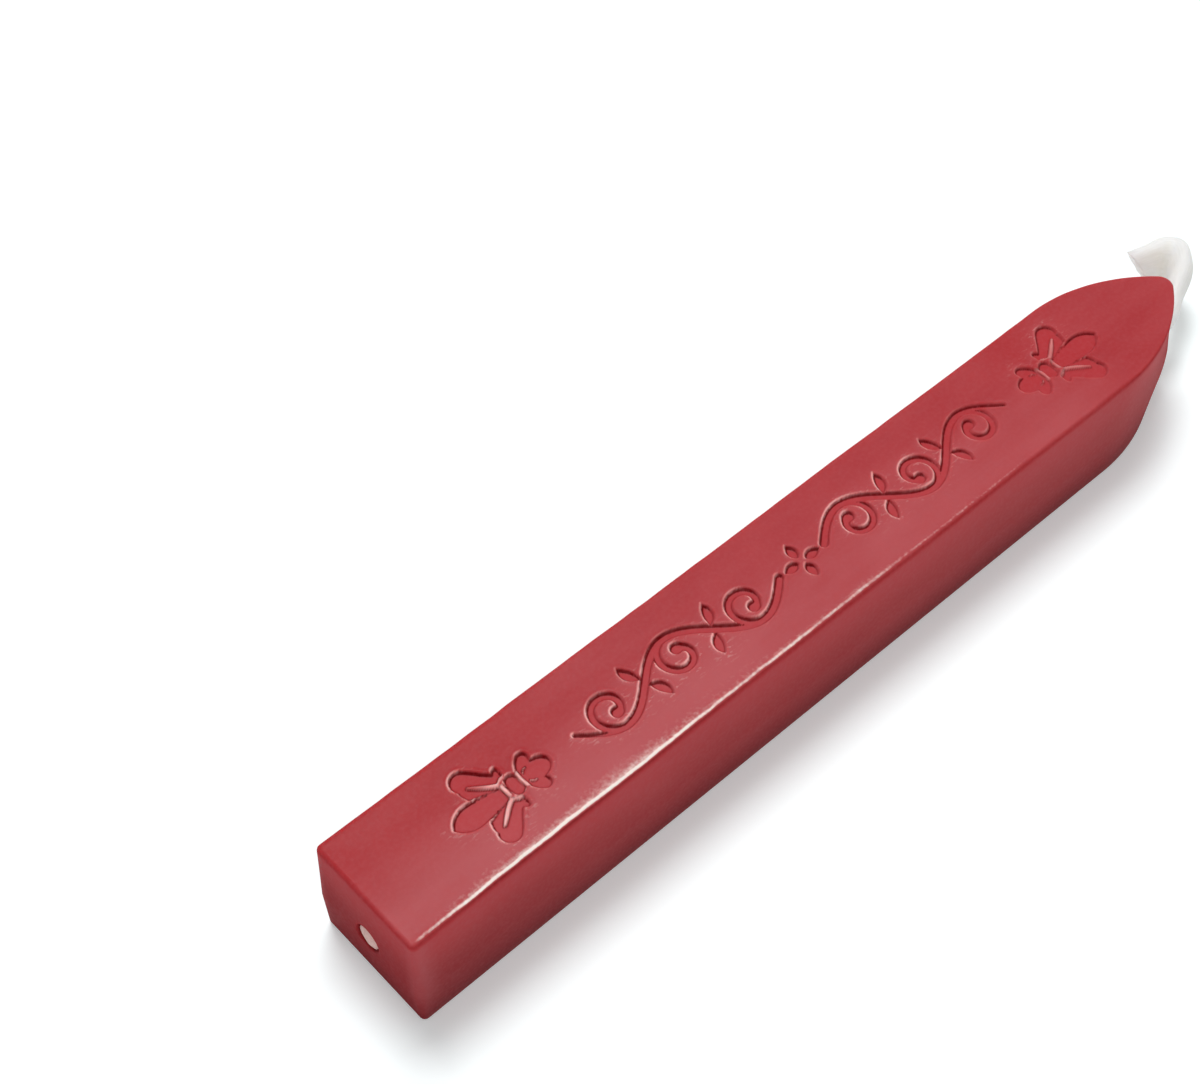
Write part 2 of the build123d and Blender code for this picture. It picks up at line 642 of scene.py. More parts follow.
@dataclass
class Skin:
    """Points, faces and point values of a piece, gathered patch by patch, in millimetres."""

    names: tuple[str, ...] = ()
    weld: float = 1e-6
    points: list[Array] = field(default_factory=list)
    values: list[Array] = field(default_factory=list)
    faces: list[Indices] = field(default_factory=list)
    count: int = 0

    def add(self, points: Array, faces: Sequence[Indices], values: Array | None = None) -> int:
        """Adds a patch.

        Args:
            points: Its points, in any grid shape.
            faces: Its faces, by point number within the patch.
            values: Its point values, one column to a name; zero where none are given.

        Returns:
            Number of its first point.
        """
        first = self.count
        flat = points.reshape(-1, 3)
        self.points.append(flat)
        self.values.append(np.zeros((len(flat), len(self.names))) if values is None else values)
        self.faces.extend(patch + first for patch in faces)
        self.count += len(flat)
        return first

    def welded(self) -> tuple[Array, Array, list[Indices]]:
        """Joins points that lie together.

        Returns:
            Points, their values and the faces.
        """
        points = np.concatenate(self.points)
        place = np.round(points / self.weld).astype(np.int64)
        _, first, number = np.unique(place, axis=0, return_index=True, return_inverse=True)
        number = number.reshape(-1)
        return points[first], np.concatenate(self.values)[first], [number[patch] for patch in self.faces]


def make_piece(
    name: str, points: Array, faces: Sequence[Indices], values: dict[str, Array]
) -> bpy.types.Object:
    """Smooth mesh object at the origin, from points in millimetres.

    Args:
        name: Object name.
        points: Points in millimetres.
        faces: Arrays of faces, each with one number of corners.
        values: Point values by name, of one or three columns.

    Returns:
        The linked object.
    """
    mesh = bpy.data.meshes.new(name)
    mesh.from_pydata((points * MM).tolist(), [], [face for patch in faces for face in patch.tolist()])
    mesh.polygons.foreach_set("use_smooth", np.ones(len(mesh.polygons), bool))
    for value_name, value in values.items():
        kind, key = ("FLOAT", "value") if value.ndim == 1 else ("FLOAT_VECTOR", "vector")
        attribute = mesh.attributes.new(value_name, kind, "POINT")
        attribute.data.foreach_set(key, value.astype(np.float32).ravel())
    mesh.update()
    piece = bpy.data.objects.new(name, mesh)
    bpy.context.scene.collection.objects.link(piece)
    return piece


# Ornament


@dataclass(frozen=True)
class Mark:
    """Line of varying half-width on the bar's face, as rows of x, y and half-width in millimetres."""

    line: Array

    def distance(self, points: Array) -> Array:
        """Distance to the mark's edge: to the nearest span, less the half-width there.

        Args:
            points: Points on the face.

        Returns:
            Distance in millimetres, negative inside the mark.
        """
        start, end = self.line[:-1], self.line[1:]
        run = (end - start)[:, :2]
        away = points[:, None, :] - start[None, :, :2]
        share = np.clip((away * run).sum(-1) / np.maximum((run * run).sum(-1), 1e-12), 0, 1)
        gap = np.linalg.norm(away - share[..., None] * run, axis=-1)
        return (gap - start[:, 2] - share * (end - start)[:, 2]).min(1)


def nearest(marks: Sequence[Mark], points: Array, reach: float) -> Array:
    """Least distance to any mark's edge.

    Args:
        marks: Marks.
        points: Points on the face.
        reach: Distance past which a mark isn't felt.

    Returns:
        Distance for each point, at most reach.
    """
    least = np.full(len(points), reach)
    for mark in marks:
        width = mark.line[:, 2:]
        low = (mark.line[:, :2] - width).min(0) - reach
        high = (mark.line[:, :2] + width).max(0) + reach
        near = np.all((points > low) & (points < high), axis=1)
        least[near] = np.minimum(least[near], mark.distance(points[near]))
    return least


@dataclass(frozen=True)
class FleurDeLis:
    """Fleur-de-lis: pointed middle petal, two curling side petals, a knot and a three-lobed foot.

    Rows are along the flower, across it, and half-width, from the knot's centre, in millimetres. A ridge
    of negative half-width stays lower than the face. The heading is +1 or -1 along the bar, times the
    flower's stretch.
    """

    knot: tuple[float, float]
    heading: float
    middle_petal: Rows = (
        (5.8, 0, 0.04), (5.25, 0, 0.52), (4.65, 0, 0.96), (4.05, 0, 1.18), (3.4, 0, 1.14), (2.0, 0, 0.95),
        (1.1, 0, 0.75),
    )
    side_petal: Rows = (
        (0.5, 1.35, 0.5), (1.0, 1.4, 0.64), (1.6, 1.88, 0.72), (2.2, 2.4, 0.86), (2.75, 2.78, 1.02),
    )
    petal_belly: Rows = ((1.2, 1.0, 0.5), (1.9, 1.25, 0.65), (2.6, 1.45, 0.78), (2.78, 2.0, 0.84))
    curl: Rows = ((0.6, 1.35, 0.5), (0.4, 1.7, 0.4), (0.32, 1.9, 0.3))
    knot_band: Rows = ((-0.05, -0.4, 0.65), (-0.05, 0.4, 0.65))
    foot_point: Rows = ((-1.1, 0, 0.95), (-1.9, 0, 1.05), (-2.5, 0, 0.92), (-2.95, 0, 0.5))
    foot_lobe: Rows = ((-1.2, 0.5, 0.6), (-1.6, 0.95, 0.72), (-1.85, 1.35, 0.6))
    petal_ridge: Rows = (
        (2.7, 2.1, 0.02), (2.1, 1.6, 0.08), (1.45, 1.1, 0.09), (0.85, 0.8, 0.09), (0.4, 1.05, 0.09),
        (-0.2, 1.05, 0.07), (-0.65, 0.8, 0.04),
    )
    petal_edge: Rows = ((3.4, 1.18, 0.0), (2.6, 1.0, -0.07), (1.9, 0.84, -0.13))
    knot_ridge: Rows = ((0.85, 0.8, 0.08), (0.78, 0, 0.08), (0.85, -0.8, 0.08))
    foot_ridge: Rows = ((-0.75, -0.8, 0.05), (-0.68, 0, 0.05), (-0.75, 0.8, 0.05))
    foot_dot: Rows = ((-1.15, 0.42, -0.06), (-1.3, 0.6, -0.04), (-1.6, 0.68, -0.07))

    def _laid(self, rows: Rows, hand: int = 1) -> Mark:
        """Mark on the face: rows turned along the heading, mirrored across it by hand."""
        line = smooth_line(rows) * (self.heading, hand, 1)
        return Mark(line + (*self.knot, 0))

    def _paired(self, *lines: Rows) -> list[Mark]:
        """Marks of lines that stand on both sides of the flower."""
        return [self._laid(rows, hand) for rows in lines for hand in (-1, 1)]

    def marks(self) -> list[Mark]:
        """Sunk marks.

        Returns:
            Petals, curls, knot and foot.
        """
        single = [self._laid(rows) for rows in (self.middle_petal, self.knot_band, self.foot_point)]
        return single + self._paired(self.side_petal, self.petal_belly, self.curl, self.foot_lobe)

    def ridges(self) -> list[Mark]:
        """Raised lines that part the petals, the knot and the foot.

        Returns:
            Ridges.
        """
        single = [self._laid(rows) for rows in (self.knot_ridge, self.foot_ridge)]
        return self._paired(self.petal_ridge, self.petal_edge, self.foot_dot) + single


@dataclass(frozen=True)
class VineScroll:
    """Running vine scroll: a four-petalled flower, and a waved stem to either side with spirals and leaves.

    The second stem is the first turned half round about the flower. Sizes are in millimetres, and rows
    are as in the fleur-de-lis.
    """

    centre: tuple[float, float]
    start: float = 2.5
    reach: float = 24.0
    bays: int = 3
    swing: float = 1.95
    stem_width: float = 0.46
    stem_narrowing: float = 0.5
    narrowing_bays: float = 0.6
    stem_points: int = 90
    spiral_points: int = 70
    spiral_turns: float = 0.95
    spiral_end: float = 0.62
    spiral_width: float = 0.42
    bead: float = 0.6
    bead_start: float = 0.86
    leaf: Rows = ((0.15, 0.45, 0.2), (0.55, 1.05, 0.5), (0.78, 1.6, 0.46), (0.9, 2.3, 0.08))
    petal: Rows = ((0.5, 0, 0.2), (0.95, 0, 0.5), (1.3, 0, 0.46), (1.9, 0, 0.08))

    @property
    def bay(self) -> float:
        """Length of one bay, half a wave of the stem."""
        return (self.reach - self.start) / self.bays

    def _stem(self) -> Array:
        """Stem: swing times the sine of the run in bays, narrowing to its end.

        Returns:
            Rows of the stem.
        """
        run = np.linspace(0, self.bays, self.stem_points)
        end = smoothstep(run, self.bays - self.narrowing_bays, self.bays)
        width = self.stem_width * (1 - self.stem_narrowing * end)
        return np.stack([self.start + run * self.bay, self.swing * np.sin(math.pi * run), width], 1)

    def _spiral(self, number: int) -> Array:
        """Spiral of one bay: leaves the stem's crest and winds in, its radius falling evenly to a bead.

        Args:
            number: Number of the bay.

        Returns:
            Rows of the spiral.
        """
        share = np.linspace(0, 1, self.spiral_points)
        hand = 1 - 2 * (number % 2)
        middle = self.start + (number + 0.5) * self.bay
        radius = self.swing + (self.spiral_end - self.swing) * share
        angle = math.pi / 2 - 2 * math.pi * self.spiral_turns * share
        width = self.spiral_width + (self.bead - self.spiral_width) * smoothstep(share, self.bead_start, 1)
        return np.stack([middle + radius * np.cos(angle), hand * radius * np.sin(angle), width], 1)

    def _leaves(self, number: int) -> list[Array]:
        """Two leaves where the stem crosses the middle after a bay, one on each side of it.

        Args:
            number: Number of the bay.

        Returns:
            Rows of each leaf.
        """
        hand = 1 - 2 * (number % 2)
        root = self.start + (number + 1) * self.bay
        blade = smooth_line(self.leaf)
        return [blade * (turn, hand * turn, 1) + (root, 0, 0) for turn in (1, -1)]

    def marks(self) -> list[Mark]:
        """Sunk marks.

        Returns:
            Flower, stems, spirals and leaves.
        """
        half = [self._stem()]
        half += [self._spiral(number) for number in range(self.bays)]
        half += [blade for number in range(self.bays - 1) for blade in self._leaves(number)]
        petal = smooth_line(self.petal)
        flower = [petal, petal[:, [1, 0, 2]]]
        turned = [line * (turn, turn, 1) for line in half + flower for turn in (1, -1)]
        return [Mark(line + (*self.centre, 0)) for line in turned]


@dataclass(frozen=True)
class SunkOrnament:
    """Ornament pressed into the face: flat floor, steep wall and a soft raised lip, in millimetres.

    A pair is where a smooth step starts and ends; light and shadow are headings on the face: edges facing the
    light get painted glints, and walls facing the shadow heading get painted shade.
    """

    marks: list[Mark]
    ridges: list[Mark]
    depth: float = 0.24
    wall: float = 0.17
    lip_height: float = 0.045
    lip_width: float = 0.11
    lip_place: float = 0.6
    ridge_slope: float = 0.16
    ridge_rise: float = 0.95
    rim_width: float = 0.4
    rim_start: Span = (-0.05, 0.1)
    line: float = 0.07
    light: Span = (-0.74, 0.67)
    shadow: Span = (0.1, 0.99)
    facing: Span = (-0.2, 0.9)
    lit_foot: float = 0.3
    flank_place: float = 0.7
    flank_width: float = 0.4472
    flank_shade: float = 0.6
    far: Span = (8.0, 24.0)
    far_fading: float = 0.85
    far_shade: float = 0.5
    reach: float = 2.0
    probe: float = 0.02

    def fitted(self, points: Array, limit: float) -> Array:
        """Points moved to the top or the bottom of a wall where one is close, so that walls run clean.

        A point moves along the slope of the distance to the marks, by what it lacks to the nearer of the
        wall's two edges; the slope comes from distances measured a probe to each side.

        Args:
            points: Points on the face.
            limit: Longest move.

        Returns:
            Moved points.
        """
        gap = nearest(self.marks, points, self.reach)
        slope = [
            nearest(self.marks, points + step, self.reach) - nearest(self.marks, points - step, self.reach)
            for step in self.probe * np.eye(2)
        ]
        lack = np.where(gap > -self.wall / 2, gap, gap + self.wall)
        move = np.where(np.abs(lack) < limit, lack, 0) / (2 * self.probe)
        return points - move[:, None] * np.stack(slope, 1)

    def _towards(self, points: Array, gap: Array, heading: Span) -> Array:
        """Share by which the nearest edge faces a heading: the gap's growth a probe further that way."""
        further = nearest(self.marks, points + self.probe * np.array(heading), self.reach)
        return smoothstep((further - gap) / self.probe, *self.facing)

    def relief(self, points: Array) -> tuple[Array, Array]:
        """Height of the face, from the distance to the marks.

        Inside a mark the face falls by a smooth step over the wall's width to the depth; just outside
        it swells by a bell curve. A ridge brings the floor back up by a smooth step to each side.

        Args:
            points: Points on the face.

        Returns:
            Height in millimetres, and columns for the finish: share of the depth, closeness to an outer
            edge, painted shade at the foot of walls and ridges, and painted glints on edges that face the
            light and on ridges, which fade towards the point.
        """
        gap = nearest(self.marks, points, self.reach)
        facing = self._towards(points, gap, self.light)
        averted = self._towards(points, gap, self.shadow)
        to_ridge = nearest(self.ridges, points, self.reach)
        ridge = 1 - smoothstep(to_ridge, 0, self.ridge_slope)
        inside = smoothstep(-gap, 0, self.wall)
        sunk = inside * (1 - self.ridge_rise * ridge)
        swelling = bell(gap - self.lip_place * self.lip_width, self.lip_width) * (gap > -self.wall)
        rim = np.exp(-np.maximum(gap, 0) / self.rim_width) * smoothstep(gap, *self.rim_start)
        rim *= gap < self.reach
        near = 1 - self.far_fading * smoothstep(points[:, 0], *self.far)
        crest = inside * bell(np.maximum(to_ridge, 0), self.line)
        # Painted glints: bright lines on edges that face the light heading, and on ridge crests.
        lip = np.maximum(bell(gap, self.line) * facing * near, crest * np.sqrt(near))
        # Painted shade: the foot of walls, darker where they face the shadow heading, and the flanks of
        # ridges.
        foot = inside * (1 - smoothstep(-gap, self.wall, self.wall + 2 * self.line))
        foot *= self.lit_foot + (1 - self.lit_foot) * averted
        flank = inside * bell(to_ridge / self.ridge_slope - self.flank_place, self.flank_width)
        painted_shade = np.maximum(foot, self.flank_shade * flank)
        painted_shade *= self.far_shade + (1 - self.far_shade) * near
        height = self.lip_height * swelling * (1 - sunk) - self.depth * sunk
        return height, np.stack([sunk, rim, painted_shade, lip], 1)


# Bar


@dataclass(frozen=True)
class Stations:
    """Places round the bar's outline, as shares of its corner, side, arch and nose."""

    corner: Array
    side: Array
    arch: Array
    nose: Array
    across: Array

    @property
    def along(self) -> int:
        """Spans from the butt's corner to the tip of the nose."""
        return len(self.corner) + len(self.side) + len(self.arch) + len(self.nose) - 1


def station_runs(runs: Rows) -> Array:
    """Shares of an edge, evenly spaced in each run, without the last run's end."""
    return np.concatenate([np.linspace(low, high, int(spans), endpoint=False) for low, high, spans in runs])


@dataclass(frozen=True)
class Level:
    """Outline of the bar at one height: square butt, straight sides, arched point and round nose.

    Sizes are in millimetres. Insets are what the draft takes off the butt and the nose at that height, point
    is the length from the shoulder to the tip, and corner the radius of the butt's corners.
    """

    height: float
    width: float
    butt_inset: float
    nose_inset: float
    point: float
    nose_radius: float
    corner: float

    @property
    def half(self) -> float:
        """Half the width."""
        return self.width / 2

    @property
    def reach(self) -> float:
        """Shoulder to the centre of the nose's circle."""
        return self.point - self.nose_radius

    @property
    def arch_radius(self) -> float:
        """Radius of the arch that runs from the side into the nose's circle without a step."""
        return (self.reach**2 + self.half**2 - self.nose_radius**2) / (2 * (self.half - self.nose_radius))

    @property
    def arch_end(self) -> float:
        """Angle off the bar's axis where the arch meets the nose's circle."""
        return math.atan2(self.arch_radius - self.half, self.reach)

    def outline(self, butt: float, nose: float, stations: Stations) -> tuple[Array, Array]:
        """Outline and outward normals, counterclockwise from the butt's right corner.

        Args:
            butt: Butt face of the bar at its parting line.
            nose: Tip of the bar at its parting line.
            stations: Places to work out.

        Returns:
            Points and unit normals.
        """
        back = butt + self.butt_inset
        shoulder = nose - self.nose_inset - self.point
        corner_turn = math.pi - stations.corner * math.pi / 2
        arch_turn = math.pi / 2 + stations.arch * (self.arch_end - math.pi / 2)
        nose_turn = self.arch_end * (1 - stations.nose)
        turn = np.concatenate([corner_turn, np.full(len(stations.side), math.pi / 2), arch_turn, nose_turn])
        normal = np.stack([np.cos(turn), np.sin(turn)], 1)
        counts = [len(stations.corner), len(stations.side), len(stations.arch), len(stations.nose)]
        start = back + self.corner
        centre = np.array([
            (start, self.half - self.corner),
            (start, self.half),
            (shoulder, self.half - self.arch_radius),
            (shoulder + self.reach, 0),
        ])
        radius = np.array([self.corner, 0, self.arch_radius, self.nose_radius])
        left = np.repeat(centre, counts, axis=0) + np.repeat(radius, counts)[:, None] * normal
        run = slice(counts[0], counts[0] + counts[1])
        left[run, 0] += stations.side * (shoulder - start)
        across = stations.across[-2:0:-1, None] * (0, self.half - self.corner) + (back, 0)
        points = np.concatenate([left * (1, -1), left[-2::-1], across])
        normals = np.concatenate([normal * (1, -1), normal[-2::-1], np.tile((-1.0, 0.0), (len(across), 1))])
        return points, normals


@dataclass(frozen=True)
class EdgeWearAndHighlight:
    """Wear and painted highlight of the long edges: grows from the butt, thins along the bar, slight on the
    left.

    A pair is where a smooth step starts and ends, in millimetres from the butt or, for left, across.
    """

    start: Span = (0.2, 1.3)
    growth: Span = (1.0, 8.0)
    thinning: Span = (15.0, 55.0)
    thinned: float = 0.6
    end: Span = (56.0, 76.0)
    left: Span = (-1.0, 1.0)
    left_loss: float = 0.85

    def at(self, run: Array, across: Array) -> Array:
        """Works out the wear and painted highlight.

        Args:
            run: Distance from the butt.
            across: Distance to the left of the middle.

        Returns:
            Wear and painted highlight from 0 to 1.
        """
        begun = (smoothstep(run, *self.start) + smoothstep(run, *self.growth)) / 2
        lasting = (1 - self.thinned * smoothstep(run, *self.thinning)) * (begun - smoothstep(run, *self.end))
        return lasting * (1 - self.left_loss * smoothstep(across, *self.left))


@dataclass(frozen=True)
class FaceHazeAndSheen:
    """Pale haze on the face, partly wax bloom and partly painted sheen: even along the middle, more towards
    the right edge, thin at both ends but for a painted reflection at the point.

    A pair is where a smooth step starts and ends, in millimetres from the butt or, for right, across.
    """

    even: float = 0.4
    even_start: Span = (14.0, 26.0)
    even_end: Span = (66.0, 76.0)
    right: Span = (-3.0, 4.5)
    butt: Span = (3.0, 13.0)
    butt_loss: float = 0.2
    middle: Span = (35.0, 70.0)
    middle_loss: float = 0.3
    point: Span = (70.0, 83.0)
    point_loss: float = 0.4
    # nose: where a painted reflection, lighter wax towards the point, starts and ends
    nose: Span = (68.0, 84.0)
    painted_nose_reflection: float = 0.36

    def at(self, run: Array, across: Array) -> Array:
        """Works out the haze and painted sheen.

        Args:
            run: Distance from the butt.
            across: Distance to the left of the middle.

        Returns:
            Haze, partly painted sheen, from 0 to 1.
        """
        even = self.even * (smoothstep(run, *self.even_start) - smoothstep(run, *self.even_end))
        fading = 1 - self.butt_loss * (1 - smoothstep(run, *self.butt))
        fading -= self.middle_loss * smoothstep(run, *self.middle)
        fading -= self.point_loss * smoothstep(run, *self.point)
        right = smoothstep(-across, *self.right) * fading
        # The nose's term is a painted reflection that lightens the point.
        return np.maximum(even + (1 - even) * right, self.painted_nose_reflection * smoothstep(run, *self.nose))


@dataclass
class WaxBar:
    """Moulded wax bar with draft above and below its parting line, sunk ornament and the wick's bore.

    Sizes are in millimetres; the box comes from the frame, whose origin lies midway between butt and nose.
    A run of stations is its start and its end, as shares of an edge, and its number of spans. A wave is its
    share, its wavelength and its seed.
    """

    box: tuple[Vector, Vector]
    finish: WaxFinish
    ornament: SunkOrnament
    edge_wear_and_highlight: EdgeWearAndHighlight = EdgeWearAndHighlight()
    haze: FaceHazeAndSheen = FaceHazeAndSheen()
    parting_height: float = 4.6
    top_width: float = 11.0
    base_width: float = 11.4
    edge_radius: float = 0.35
    edge_spread: float = 0.08
    edge_rows: int = 7
    edge_start: Span = (2.0, 6.0)
    edge_end: Span = (76.0, 82.0)
    edge_waves: Rows = ((0.6, 9.0, 3), (0.4, 2.6, 4))
    nose_edge: float = 0.5
    long_side: Span = (0.8, 1.0)
    burr_height: float = 0.08
    burr_width: float = 0.2
    burr_waves: Rows = ((0.3, 6.0, 5), (0.25, 1.4, 6))
    burr_mean: float = 0.8
    burr_least: float = 0.2
    # wear width, feather and worn rows: pale rubbed edge, partly wear and partly a painted highlight
    wear_width: float = 0.17
    highlight_feather: float = 0.55
    feather_width: float = 1.02
    # line place, width and shade: painted shade, a dark line just under the long edge's pale line
    line_place: float = 0.25
    line_width: float = 0.13
    line_shade: float = 0.36
    worn_rows: Span = (0.35, 0.85)
    foot_radius: float = 0.3
    foot_rows: int = 5
    corner_margin: float = 0.15
    bore_radius: float = 1.25
    bore_height: float = 5.2
    rim_radius: float = 0.16
    mouth_rings: int = 6
    unevenness: float = 0.035
    uneven_axes: Triple = (0.4, 1.0, 0.5)
    still_core: Span = (1.5, 3.0)
    still_foot: Span = (0.0, 1.5)
    cast_waves: Rows = ((0.7, 14.0, 21), (0.3, 5.0, 31))
    sag: float = 0.05
    sag_run: float = 2.2
    side_runs: Rows = ((0.0, 0.088, 28), (0.088, 1.0, 592))
    arch_runs: Rows = ((0.0, 0.33, 40), (0.33, 1.0, 40))
    across_runs: Rows = ((0.0, 0.83, 39), (0.83, 1.0, 5))
    corner_spans: int = 4
    coarse: int = 4
    fit_limit: float = 0.055
    window_rows: tuple[float, ...] = (3.2, 3.65, 4.1, 4.6, 5.1, 5.6, 6.15, 6.7, 7.2)
    low_rows: tuple[float, ...] = (0.9, 1.7, 2.5)
    high_rows: tuple[float, ...] = (7.9, 8.6, 9.3, 9.9)
    collar: float = 10.2
    nose_spans: int = 8
    butt_window: int = 16
    newton_steps: int = 6

    def __post_init__(self) -> None:
        """Works out the levels, stations and outlines."""
        low, high = (np.array(corner) / MM for corner in self.box)
        self.butt, self.nose, self.top = low[0], -low[0], high[2]
        parting_width = high[1] - low[1]
        edge, foot = self.edge_radius + self.corner_margin, self.foot_radius + self.corner_margin
        self.levels = (
            Level(
                height=0.0, width=self.base_width, butt_inset=0.2, nose_inset=1.1, point=11.8,
                nose_radius=2.4, corner=foot,
            ),
            Level(
                height=self.parting_height, width=parting_width, butt_inset=0.0, nose_inset=0.0, point=14.0,
                nose_radius=2.8, corner=0.8,
            ),
            Level(
                height=self.top, width=self.top_width, butt_inset=0.25, nose_inset=0.25, point=12.0,
                nose_radius=1.2, corner=edge,
            ),
        )
        self.stations = self._stations()
        outlines = [level.outline(self.butt, self.nose, self.stations) for level in self.levels]
        self.outlines = np.array([points for points, _ in outlines])
        self.normals = np.array([normals for _, normals in outlines])
        self.long_sides = smoothstep(np.abs(self.normals[-1][:, 1]), *self.long_side)
        self.burr = self._burr()

    def _stations(self) -> Stations:
        """Stations: close along the ornament, wider apart on the plain ends.

        Returns:
            Places round the outline.
        """
        half = np.append(station_runs(self.across_runs), 1.0)
        return Stations(
            corner=np.linspace(0, 1, self.corner_spans * self.coarse, endpoint=False),
            side=station_runs(self.side_runs),
            arch=station_runs(self.arch_runs),
            nose=np.linspace(0, 1, self.nose_spans * self.coarse + 1),
            across=np.concatenate([-half[:0:-1], half]),
        )

    def _shares(self, height: Array) -> Array:
        """Share of each level at a height, by straight lines between the levels."""
        knots = [level.height for level in self.levels]
        return np.stack([np.interp(height, knots, row) for row in np.eye(len(knots))])

    def _ring(self, height: Array | float, inset: Array | float, step: int = 1) -> Array:
        """Closed ring: the outline at a height, moved in along its normals.

        Args:
            height: Height of the ring, for all points or for each.
            inset: Distance moved in, for all points or for each.
            step: Points of the outline to one of the ring.

        Returns:
            Points of the ring.
        """
        count = self.outlines.shape[1]
        level = np.broadcast_to(np.asarray(height, float), count)
        share = self._shares(level)[..., None]
        outline = (share * self.outlines).sum(0)
        normal = (share * self.normals).sum(0)
        normal /= np.linalg.norm(normal, axis=1, keepdims=True)
        moved = outline - np.broadcast_to(np.asarray(inset, float), count)[:, None] * normal
        return np.column_stack([moved, level])[::step]

    def _edge_radii(self) -> Array:
        """Radius of the top edge round the outline: uneven along the sides, small at the nose.

        Returns:
            Radius for each point of the outline.
        """
        outline = self.outlines[-1]
        run = outline[:, 0] - self.butt
        uneven = self.edge_spread * swells(outline, self.edge_waves)
        radius = self.edge_radius + uneven * smoothstep(run, *self.edge_start)
        return radius * (1 - self.nose_edge * smoothstep(run, *self.edge_end))

    def _burr(self) -> Array:
        """Height of the cast rim round the outline: uneven on the long edges, none at the butt and nose.

        Returns:
            Height for each point of the outline.
        """
        outline = self.outlines[-1]
        uneven = np.maximum(self.burr_mean + swells(outline, self.burr_waves), self.burr_least)
        return self.burr_height * self.long_sides * self._wear_and_highlight(outline) * uneven

    def _wear_and_highlight(self, points: Array) -> Array:
        """Wear and painted highlight at points."""
        return self.edge_wear_and_highlight.at(points[..., 0] - self.butt, points[..., 1])

    def _haze(self, points: Array) -> Array:
        """Haze, partly painted sheen, at points."""
        return self.haze.at(points[..., 0] - self.butt, points[..., 1])

    def _face(self, ring: Array, along: int, across: Array) -> Array:
        """Face inside a ring: straight lines across from the right side to the left.

        Args:
            ring: Points of the ring.
            along: Spans from the butt to the nose.
            across: Places on each line, from -1 to 1.

        Returns:
            Grid of points, rows across, columns along.
        """
        right, left = ring[: along + 1], ring[along : 2 * along + 1][::-1]
        share = (across[:, None, None] + 1) / 2
        return right + (left - right) * share

    def _add_top(self, skin: Skin, ring: Array) -> None:
        """Ornamented face inside a ring, with the ornament's relief, a slight sag and the cast rim.

        The rim falls off from each long edge by a bell curve.

        Args:
            skin: Skin to add to.
            ring: Ring round the face, without the rim's height.
        """
        across, along = self.stations.across, self.stations.along
        grid = self._face(ring, along, across)
        rows, columns = grid.shape[:2]
        plan = self.ornament.fitted(grid.reshape(-1, 3)[:, :2], self.fit_limit)
        grid[..., :2] = plan.reshape(rows, columns, 2)
        height, carved = self.ornament.relief(plan)
        half = np.abs(ring[: along + 1, 1])
        to_side = (1 - np.abs(across))[:, None] * half
        inner = smoothstep(np.minimum(to_side, grid[..., 0] - ring[0, 0]), 0, self.sag_run)
        grid[..., 2] += height.reshape(rows, columns) - self.sag * inner
        for hand, burr in ((1, self.burr[: along + 1]), (-1, self.burr[along : 2 * along + 1][::-1])):
            to_edge = (1 + hand * across)[:, None] * half
            grid[..., 2] += burr * bell(to_edge, self.burr_width)
        # Painted highlight: a pale feather running in from each long edge, over the rubbed wear.
        highlight_feather = self.highlight_feather * np.exp(-to_side / self.feather_width)
        rubbed = np.maximum(np.exp(-to_side / self.wear_width), highlight_feather) * self._wear_and_highlight(grid)
        values = np.column_stack([carved, rubbed.ravel(), self._haze(grid).ravel()])
        faces = grid_faces(rows, columns).reshape(rows - 1, along, 4)
        skin.add(grid, [faces[:, :-1].reshape(-1, 4), faces[:, -1][:, [0, 1, 3]]], values)

    def _wall_rows(self) -> Array:
        """Coarse rows of the walls: the foot turns a quarter round, then the levels' draft is followed.

        Returns:
            Rows of points, from the resting face up.
        """
        turn = np.linspace(math.pi / 2, 0, self.foot_rows)
        plain = np.array([*self.low_rows, *self.window_rows, *self.high_rows])
        heights = np.concatenate([self.foot_radius * (1 - np.sin(turn)), plain])
        insets = np.concatenate([self.foot_radius * (1 - np.cos(turn)), 0 * plain])
        return np.array([self._ring(height, inset, self.coarse) for height, inset in zip(heights, insets)])

    def _edge_rows(self) -> tuple[Array, Array]:
        """Fine rows from the collar over the top edge, which turns a quarter round into the face.

        Returns:
            Rows without the cast rim's height, and the share of that height in each row.
        """
        radii = self._edge_radii()
        turns = np.linspace(math.pi / 2, 0, self.edge_rows)
        rows = [self._ring(self.collar, 0.0)]
        rows += [self._ring(self.top - radii * (1 - math.cos(a)), radii * (1 - math.sin(a))) for a in turns]
        return np.array(rows), np.concatenate([[0], 1 - np.sin(turns)])

    def _add_walls(self, skin: Skin) -> tuple[Array, Array]:
        """Walls up to the ornamented face, open at the bore's mouths; below the collar one span is four.

        Args:
            skin: Skin to add to.

        Returns:
            Coarse rows of the walls and the ring round the ornamented face.
        """
        fine, share = self._edge_rows()
        share = share[:, None]
        edge_wear_and_highlight = self.long_sides * self._wear_and_highlight(fine)
